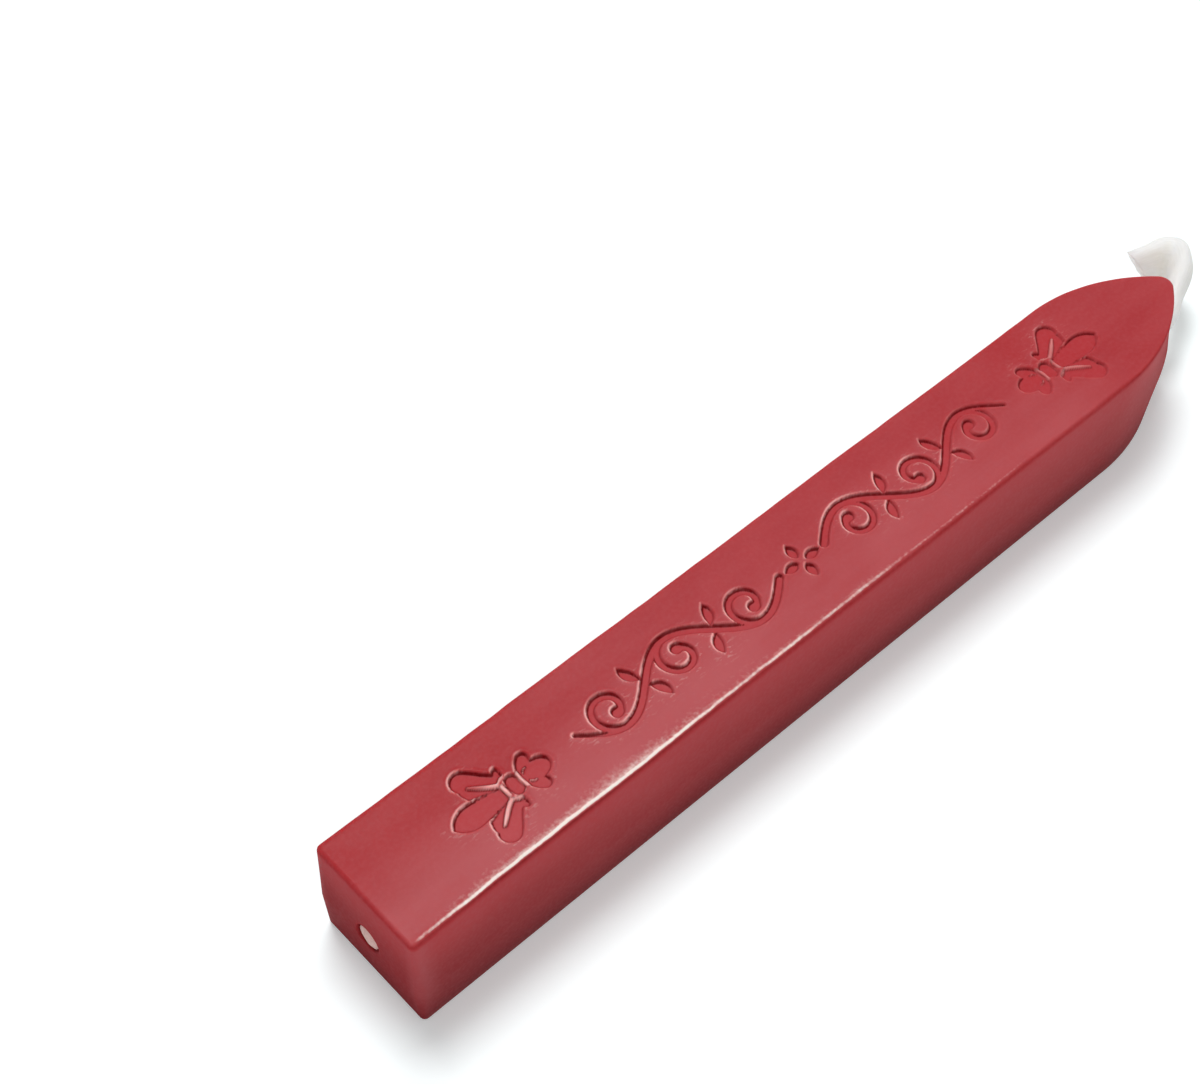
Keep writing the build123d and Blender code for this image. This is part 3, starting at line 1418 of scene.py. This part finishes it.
        # Over the edge: a painted shade line, rubbed wear with a painted highlight, and haze with painted
        # sheen.
        known = {
            WaxValue.WALL: self.line_shade * bell(share - self.line_place, self.line_width) * edge_wear_and_highlight,
            WaxValue.RUBBED: smoothstep(share, *self.worn_rows) * edge_wear_and_highlight,
            WaxValue.HAZE: smoothstep(share, 0, 1) * self._haze(fine),
        }
        values = np.stack([known.get(value, np.zeros(fine.shape[:2])) for value in WaxValue], -1)
        raised = fine + (share * self.burr)[..., None] * (0, 0, 1)
        faces = grid_faces(*fine.shape[:2], closed=True)
        first = skin.add(raised, [faces], values.reshape(-1, len(WaxValue)))
        coarse = self._wall_rows()
        rows, columns = coarse.shape[:2]
        faces = grid_faces(rows, columns, closed=True).reshape(rows - 1, columns, 4)
        kept = np.ones((rows - 1, columns), bool)
        for low, high in (self._nose_columns(), self._butt_columns()):
            kept[self._window_span(), low:high] = False
        base = skin.add(coarse, [faces[kept]])
        self._add_collar(skin, first, base + (rows - 1) * columns, columns)
        return coarse, fine[-1]

    def _add_collar(self, skin: Skin, fine: int, coarse: int, columns: int) -> None:
        """Collar of seven-sided faces between one coarse span below and four fine ones above.

        Args:
            skin: Skin to add to.
            fine: Number of the first point above.
            coarse: Number of the first point below.
            columns: Points below.
        """
        column = np.arange(columns)
        below = coarse + np.stack([column, (column + 1) % columns], 1)
        offsets = np.arange(self.coarse, -1, -1)
        above = fine + (column[:, None] * self.coarse + offsets) % (columns * self.coarse)
        skin.faces.append(np.concatenate([below, above], 1))

    def _nose_columns(self) -> tuple[int, int]:
        """First and last coarse column of the nose."""
        tip = self.stations.along // self.coarse
        return tip - self.nose_spans, tip + self.nose_spans

    def _butt_columns(self) -> tuple[int, int]:
        """First and last coarse column of the butt's window.

        Returns:
            Their numbers.
        """
        corner = 2 * self.stations.along // self.coarse
        margin = ((len(self.stations.across) - 1) // self.coarse - self.butt_window) // 2
        return corner + margin, corner + margin + self.butt_window

    def _window_span(self) -> slice:
        """Rows of the walls that the windows take."""
        first = self.foot_rows + len(self.low_rows)
        return slice(first, first + len(self.window_rows) - 1)

    def _window(self, coarse: Array, low: int, high: int, mirrored: bool) -> Array:
        """Edge of a window in the walls, counterclockwise seen along -X, from the lower left corner.

        Args:
            coarse: Coarse rows of the walls.
            low: First column.
            high: Last column.
            mirrored: Whether the columns run from left to right.

        Returns:
            Points of the edge.
        """
        span = self._window_span()
        patch = coarse[span.start : span.stop + 1, low : high + 1]
        patch = patch[:, ::-1] if mirrored else patch
        return np.concatenate([patch[:, -1], patch[-1, -2::-1], patch[-2::-1, 0], patch[0, 1:-1]])

    def _of_levels(self, name: str) -> Array:
        """One size of every level, as a column."""
        return np.array([getattr(level, name) for level in self.levels])[:, None]

    def _nose_face(self, across: Array, height: Array) -> Array:
        """Nose's surface: the turn round the nose that reaches each point is found by Newton's steps.

        Args:
            across: Distance of the points to the left of the middle.
            height: Height of the points.

        Returns:
            Place of the surface along the bar.
        """
        share = self._shares(height)
        radius, end = self._of_levels("nose_radius"), self._of_levels("arch_end")
        centre = self.nose - self._of_levels("nose_inset") - radius
        turn = across / (share * radius * end).sum(0)
        for _ in range(self.newton_steps):
            miss = (share * radius * np.sin(turn * end)).sum(0) - across
            turn = turn - miss / (share * radius * end * np.cos(turn * end)).sum(0)
        return (share * (centre + radius * np.cos(turn * end))).sum(0)

    def _butt_face(self, across: Array, height: Array) -> Array:
        """Butt's surface at points across and up, from the levels' draft alone."""
        return self.butt + (self._shares(height) * self._of_levels("butt_inset")).sum(0) + 0 * across

    def _mouth(self, window: Array, nose: bool) -> Array:
        """Rings from a window's edge in to the bore: straight lines to a circle, then a quarter round.

        Args:
            window: Points of the window's edge.
            nose: Whether the mouth is in the nose, else in the butt.

        Returns:
            Rings, from the window's edge to the bore's wall.
        """
        count = len(window)
        rise = len(self.window_rows) - 1
        angle = 2 * math.pi * (np.arange(count) - rise / 2) / count
        circle = np.stack([np.cos(angle), np.sin(angle)], 1)
        centre = np.array([0, self.bore_height])
        outer = centre + (self.bore_radius + self.rim_radius) * circle
        shares = np.linspace(0, 1, self.mouth_rings)[1:]
        lines = [window[:, 1:] + (outer - window[:, 1:]) * share for share in shares]
        turns = shares * math.pi / 2
        rounds = [centre + (self.bore_radius + self.rim_radius * (1 - math.sin(a))) * circle for a in turns]
        sunk = np.concatenate([np.zeros(len(lines)), self.rim_radius * (1 - np.cos(turns))])
        plan = np.array(lines + rounds)
        surface = self._nose_face if nose else self._butt_face
        depth = np.array([surface(ring[:, 0], ring[:, 1]) for ring in plan])
        depth += sunk[:, None] * (-1 if nose else 1)
        return np.concatenate([window[None], np.concatenate([depth[..., None], plan], -1)])

    def _add_bore(self, skin: Skin, coarse: Array) -> None:
        """Bore with its two mouths, one closed tube from the nose's window to the butt's.

        Args:
            skin: Skin to add to.
            coarse: Coarse rows of the walls.
        """
        nose = self._mouth(self._window(coarse, *self._nose_columns(), mirrored=False), nose=True)
        butt = self._mouth(self._window(coarse, *self._butt_columns(), mirrored=True), nose=False)
        tube = np.concatenate([nose, butt[::-1]])
        skin.add(tube, [grid_faces(*tube.shape[:2], closed=True)])

    def _add_base(self, skin: Skin, ring: Array) -> None:
        """Resting face inside the foot's ring.

        Args:
            skin: Skin to add to.
            ring: Lowest ring of the walls.
        """
        across = self.stations.across[:: self.coarse]
        along = self.stations.along // self.coarse
        grid = self._face(ring, along, across)
        faces = grid_faces(*grid.shape[:2])[:, ::-1].reshape(len(across) - 1, along, 4)
        tip = faces[:, -1]
        skin.add(grid, [faces[:, :-1].reshape(-1, 4), tip[:, [0, 2, 3]]])

    def _uneven(self, points: Array) -> Array:
        """Hand-cast unevenness: slow waves in each direction, none at the bore and the resting face.

        Args:
            points: Points of the bar.

        Returns:
            Moved points.
        """
        off_axis = np.hypot(points[:, 1], points[:, 2] - self.bore_height)
        share = smoothstep(off_axis, *self.still_core) * smoothstep(points[:, 2], *self.still_foot)
        waves = np.stack([swells(points, self.cast_waves, axis) for axis in range(3)], 1)
        return points + self.unevenness * share[:, None] * waves * self.uneven_axes

    def build(self) -> bpy.types.Object:
        """Builds and dresses the bar.

        Returns:
            The bar's object.
        """
        skin = Skin(tuple(value.value for value in WaxValue))
        coarse, ring = self._add_walls(skin)
        self._add_top(skin, ring)
        self._add_base(skin, coarse[0])
        self._add_bore(skin, coarse)
        points, values, faces = skin.welded()
        bar = make_piece("wax_bar_moulded", self._uneven(points), faces, dict(zip(skin.names, values.T)))
        bar.data.materials.append(self.finish.material())
        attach(bar, Body.STICK.value)
        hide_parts("wax_bar")
        return bar


# Wick


@dataclass
class Wick:
    """Cotton wick: held in the bar, spread to an upright band past the nose, folded left, cut on a slant.

    Sizes are in millimetres; the tail's route is given as offsets from the wick's axis where it bends, and
    the blend's start and end as offsets from the nose. A share is one of the tail's length. Other pairs are
    where a smooth step starts and ends, in such shares, or from the butt for narrow_run.
    """

    finish: CottonFinish
    end_finish: CottonFinish
    butt: float
    nose: float
    height: float = 5.2
    radius: float = 1.2
    recess: float = 0.2
    bend_stand_off: float = 1.5
    tail_route: Rows = ((0.0, 0.0, 0.0), (4.8, 2.3, -0.25), (7.5, 4.5, -0.4), (2.35, 6.6, -0.4))
    corner_runs: tuple[float, ...] = (1.4, 0.5, 2.6)
    fold_share: float = 0.62
    fold_spread: float = 0.28
    fold_fill: float = 3.2
    fold_crest: float = 0.45
    lower_edge: float = 0.8
    lower_edge_span: Span = (0.45, 0.7)
    lower_spread: Span = (0.12, 0.5)
    band_thickness: float = 2.1
    band_breadth: float = 4.1
    cut_breadth: float = 3.2
    spread_end: float = 0.4
    narrow_start: float = 0.75
    cut_start: float = 0.66
    cut_slant: float = 30.0
    strands: int = 4
    strand_relief: float = 0.025
    strand_pitch: float = 5.5
    lump: float = 0.035
    lump_size: float = 2.4
    lump_round: float = 2.0
    lump_seed: int = 41
    lump_start: Span = (-0.12, 0.05)
    tuft: float = 0.04
    tuft_size: float = 0.7
    tuft_seed: int = 43
    cut_swelling: float = 0.1
    butt_swelling: float = 0.2
    butt_narrowing: float = 0.16
    narrow_run: Span = (0.5, 3.0)
    root_pinch: float = 0.28
    pinch_share: float = 0.16
    pinch_spread: float = 0.14
    around: int = 64
    held_rings: int = 24
    ring_step: float = 0.11
    cap_shares: tuple[float, ...] = (0.85, 0.6, 0.35, 0.12)
    blend_start: Span = (0.4, 0.0)
    blend_end: Span = (3.66, 1.52)

    def _rings(self) -> tuple[Array, Array, Array]:
        """Places of the rings, close together from the nose on.

        Returns:
            Centres, distance along the wick, and share of the tail's length, below 0 in the bar.
        """
        axis = self.nose + self.bend_stand_off
        tail = [(axis + x, y, self.height + z) for x, y, z in self.tail_route]
        corners = np.array([(self.butt + self.recess, 0, self.height), *tail])
        route = rounded_line(corners, self.corner_runs)
        run = np.concatenate([[0], np.cumsum(np.linalg.norm(np.diff(route, axis=0), axis=1))])
        root = axis - corners[0, 0]
        mouth = root - 2 * self.bend_stand_off
        free = np.linspace(mouth, run[-1], round((run[-1] - mouth) / self.ring_step))
        along = np.concatenate([np.linspace(0, mouth, self.held_rings, endpoint=False), free])
        centres = np.stack([np.interp(along, run, column) for column in route.T], 1)
        return centres, along, (along - root) / (run[-1] - root)

    def _section(self, along: Array, share: Array, angle: Array) -> tuple[Array, Array]:
        """Sections: an ellipse that spreads from the round wick to the band and narrows to the cut.

        Its size falls where neither of two opposite twists of strands crests, and waves slowly.

        Args:
            along: Distance of each ring along the wick.
            share: Share of the tail's length at each ring.
            angle: Angles round a ring.

        Returns:
            Offsets sideways and upwards, rings by angles.
        """
        spread = smoothstep(share, 0, self.spread_end)
        widening = self.band_breadth / 2 - self.radius
        narrowing = (self.band_breadth - self.cut_breadth) / 2 * smoothstep(share, self.narrow_start, 1)
        upper = widening * spread + self.fold_crest * self._fold(share)
        pinch = self.root_pinch * bell(share - self.pinch_share, self.pinch_spread)
        lower = widening * smoothstep(share, *self.lower_spread) - pinch
        lower += self.lower_edge * smoothstep(share, *self.lower_edge_span)
        tall = self.radius - narrowing[:, None] + np.where(np.sin(angle) > 0, upper[:, None], lower[:, None])
        thick = self.radius + (self.band_thickness / 2 - self.radius) * spread - pinch
        thick *= 1 - self.butt_narrowing * (1 - smoothstep(along, *self.narrow_run))
        twist = 2 * math.pi * along[:, None] / self.strand_pitch
        crest = np.maximum(np.cos(self.strands * angle + twist), np.cos(self.strands * angle - twist))
        circle = (self.lump_round * np.cos(angle), self.lump_round * np.sin(angle))
        tube = np.stack(np.broadcast_arrays(along[:, None], *circle), -1)
        waves = self.lump * swell(tube, self.lump_size, self.lump_seed)
        free = smoothstep(share, *self.lump_start)[:, None]
        size = 1 + free * (self.strand_relief * (crest - 1) + waves)
        return thick[:, None] * size * np.cos(angle), tall * size * np.sin(angle)

    def _fold(self, share: Array) -> Array:
        """Closeness to the fold: a bell curve over the share of the tail's length."""
        return bell(share - self.fold_share, self.fold_spread)

    def _fold_filling(self, points: Array, along: Array, share: Array) -> Array:
        """Moves that fill the inside of the fold: to the bell-weighted mean of the points along the wick.

        Args:
            points: Rings of points.
            along: Distance of each ring along the wick.
            share: Share of the tail's length at each ring.

        Returns:
            Move of each point.
        """
        weight = bell(along[:, None] - along, self.fold_fill) * np.gradient(along)
        weight /= weight.sum(1, keepdims=True)
        mean = np.tensordot(weight, points, 1)
        return self._fold(share)[:, None, None] * (mean - points)

    def _cap(self, ring: Array, straight: Array, outward: Array, swelling: float) -> tuple[Array, Array]:
        """Rings that close an end: the end's ring drawn in to its middle, bulging by a parabola and tufts.

        Args:
            ring: The end's ring.
            straight: Its straightened coordinates.
            outward: Direction out of the end.
            swelling: Height of the bulge.

        Returns:
            Rings from the outside in, and their straightened coordinates.
        """
        shares = np.array(self.cap_shares)[:, None, None]
        middle = ring.mean(0)
        marks = straight * np.where([True, False, False], 1.0, shares)
        tufts = self.tuft * swell(marks, self.tuft_size, self.tuft_seed)
        bulge = tufts + swelling * (1 - shares[..., 0] ** 2)
        return middle + (ring - middle) * shares + bulge[..., None] * outward, marks

    def _surface(self) -> tuple[Array, Array]:
        """Surface of the wick, ends included: sections carried along the route, sheared to the slanted cut.

        Returns:
            Rings of points and their straightened coordinates.
        """
        centres, along, share = self._rings()
        angle = np.linspace(0, 2 * math.pi, self.around, endpoint=False)
        forward = np.gradient(centres, along, axis=0)
        forward /= np.linalg.norm(forward, axis=1, keepdims=True)
        sideways = np.cross((0, 0, 1), forward)
        sideways /= np.linalg.norm(sideways, axis=1, keepdims=True)
        across, up = self._section(along, share, angle)
        slant = np.clip((share - self.cut_start) / (1 - self.cut_start), 0, 1)
        lag = math.tan(math.radians(self.cut_slant)) * slant[:, None] * (up - up.max(1, keepdims=True))
        points = centres[:, None] + across[..., None] * sideways[:, None] + lag[..., None] * forward[:, None]
        points[..., 2] += up
        points += self._fold_filling(points, along, share) * np.maximum(np.cos(angle), 0)[None, :, None]
        circle = (self.radius * np.cos(angle), self.radius * np.sin(angle))
        straight = np.stack(np.broadcast_arrays(along[:, None], *circle), -1)
        first, first_marks = self._cap(points[0], straight[0], -forward[0], self.butt_swelling)
        last, last_marks = self._cap(points[-1], straight[-1], forward[-1], self.cut_swelling)
        rings = np.concatenate([first[::-1], points, last])
        return rings, np.concatenate([first_marks[::-1], straight, last_marks])

    def build(self) -> bpy.types.Object:
        """Builds and dresses the wick.

        The butt's cap, which comes first, and its middle face, the last but one, take the end's finish.

        Returns:
            The wick's object.
        """
        rings, straight = self._surface()
        numbers = np.arange(rings.shape[0] * rings.shape[1]).reshape(rings.shape[:2])
        faces = [grid_faces(*rings.shape[:2], closed=True), numbers[:1, ::-1], numbers[-1:]]
        wick = make_piece("wick_cotton", rings.reshape(-1, 3), faces, {"straight": straight.reshape(-1, 3)})
        for finish in (self.finish, self.end_finish):
            wick.data.materials.append(finish.material())
        finish_number = np.zeros(len(wick.data.polygons), np.int32)
        finish_number[: len(self.cap_shares) * self.around] = 1
        finish_number[-2] = 1
        wick.data.polygons.foreach_set("material_index", finish_number)
        start, end = (
            ((self.nose + x) * MM, y * MM, self.height * MM) for x, y in (self.blend_start, self.blend_end)
        )
        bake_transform(wick)
        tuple(start)
        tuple(end)
        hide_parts("wick_core", "wick_tail")
        return wick


# Studio


@dataclass(frozen=True)
class SoftBox:
    """Square soft lamp, aimed at the object, in metres and degrees."""

    name: str
    heading: float
    rise: float
    distance: float
    size: tuple[float, float]
    watts: float

    def build(self, target: Vector) -> bpy.types.Object:
        """Makes the lamp.

        Args:
            target: Point that it is aimed at.

        Returns:
            The lamp's object.
        """
        turn, lift = math.radians(self.heading), math.radians(self.rise)
        away = Vector((math.cos(turn) * math.cos(lift), math.sin(turn) * math.cos(lift), math.sin(lift)))
        lamp = bpy.data.lights.new(self.name, "AREA")
        lamp.shape = "RECTANGLE"
        lamp.size, lamp.size_y = self.size
        lamp.energy = self.watts
        holder = bpy.data.objects.new(self.name, lamp)
        holder.location = target + away * self.distance
        holder.rotation_euler = away.to_track_quat("Z", "Y").to_euler()
        bpy.context.scene.collection.objects.link(holder)
        return holder


@dataclass(frozen=True)
class Studio:
    """Camera, white floor and soft light, in metres and degrees."""

    floor_finish: FloorFinish
    eye: Triple = (-0.080816, -0.065623, 0.144298)
    heading: float = 48.14
    dip: float = 51.98
    roll: float = -0.66
    lens: float = 64.36
    sensor: float = 36.0
    near_clip: float = 0.005
    floor_size: float = 3.0
    world_strength: float = 0.28
    lamps: tuple[SoftBox, ...] = (
        SoftBox("key_softbox", heading=68.0, rise=71.2, distance=0.6, size=(0.22, 0.22), watts=2.5),
        SoftBox("front_fill", heading=242.0, rise=35.0, distance=0.6, size=(0.4, 0.4), watts=0.5),
    )

    def build(self) -> None:
        """Makes the camera, floor, lamps and world."""
        scene = bpy.context.scene
        scene.view_settings.view_transform = "Standard"
        self._camera()
        self._floor()
        low, high = CAD_BOX
        for lamp in self.lamps:
            lamp.build((low + high) / 2)
        self._world()

    def _camera(self) -> None:
        """Camera by heading from +X, dip below the horizon and roll about its line of sight."""
        turn, dip, roll = (math.radians(angle) for angle in (self.heading, self.dip, self.roll))
        ahead = Vector((math.cos(turn) * math.cos(dip), math.sin(turn) * math.cos(dip), -math.sin(dip)))
        level = Vector((math.sin(turn), -math.cos(turn), 0))
        over = level.cross(ahead)
        right = level * math.cos(roll) + over * math.sin(roll)
        up = right.cross(ahead)
        data = bpy.data.cameras.new("camera")
        data.lens = self.lens
        data.sensor_width = self.sensor
        data.clip_start = self.near_clip
        camera = bpy.data.objects.new("camera", data)
        camera.matrix_world = Matrix.Translation(self.eye) @ Matrix((right, up, -ahead)).transposed().to_4x4()
        bpy.context.scene.collection.objects.link(camera)
        bpy.context.scene.camera = camera

    def _floor(self) -> None:
        """White floor under the resting face."""
        half = self.floor_size / 2
        corners = [(-half, -half, 0), (half, -half, 0), (half, half, 0), (-half, half, 0)]
        mesh = bpy.data.meshes.new("floor")
        mesh.from_pydata(corners, [], [(0, 1, 2, 3)])
        mesh.materials.append(self.floor_finish.material())
        floor = bpy.data.objects.new("floor", mesh)
        bpy.context.scene.collection.objects.link(floor)

    def _world(self) -> None:
        """Even light from all round, white to the eye."""
        world = bpy.data.worlds.new("studio")
        world.use_nodes = True
        graph = Graph(world.node_tree)
        seen = seen_rays(graph)
        strength = self.world_strength + seen * (1.0 - self.world_strength)
        sky = graph.node("ShaderNodeBackground", None, {"Color": (1.0, 1.0, 1.0, 1.0), "Strength": strength})
        graph.node("ShaderNodeOutputWorld", None, {"Surface": sky})
        bpy.context.scene.world = world


def main() -> None:
    """Builds the bar, the wick and the studio, in that order."""
    logging.basicConfig(level=logging.INFO, format="%(name)s: %(message)s")
    flowers = [FleurDeLis(knot=(-30.8, -0.2), heading=-1.0), FleurDeLis(knot=(29.0, 0.15), heading=1.06)]
    marks = VineScroll(centre=(-0.8, 0.0)).marks() + [mark for flower in flowers for mark in flower.marks()]
    ornament = SunkOrnament(marks, [ridge for flower in flowers for ridge in flower.ridges()])
    bar = WaxBar(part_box("wax_bar"), WaxFinish(), ornament)
    soaked = CottonFinish(
        "wax_soaked_cotton", light=srgb(248, 208, 199), shade=srgb(222, 172, 164), softness=0.0
    )
    wick = Wick(CottonFinish(), soaked, bar.butt, bar.nose)
    for piece in (bar.build(), wick.build()):
        LOG.info("%s: %d points, %d faces", piece.name, len(piece.data.vertices), len(piece.data.polygons))
    Studio(FloorFinish()).build()


if __name__ == "__main__":
    main()
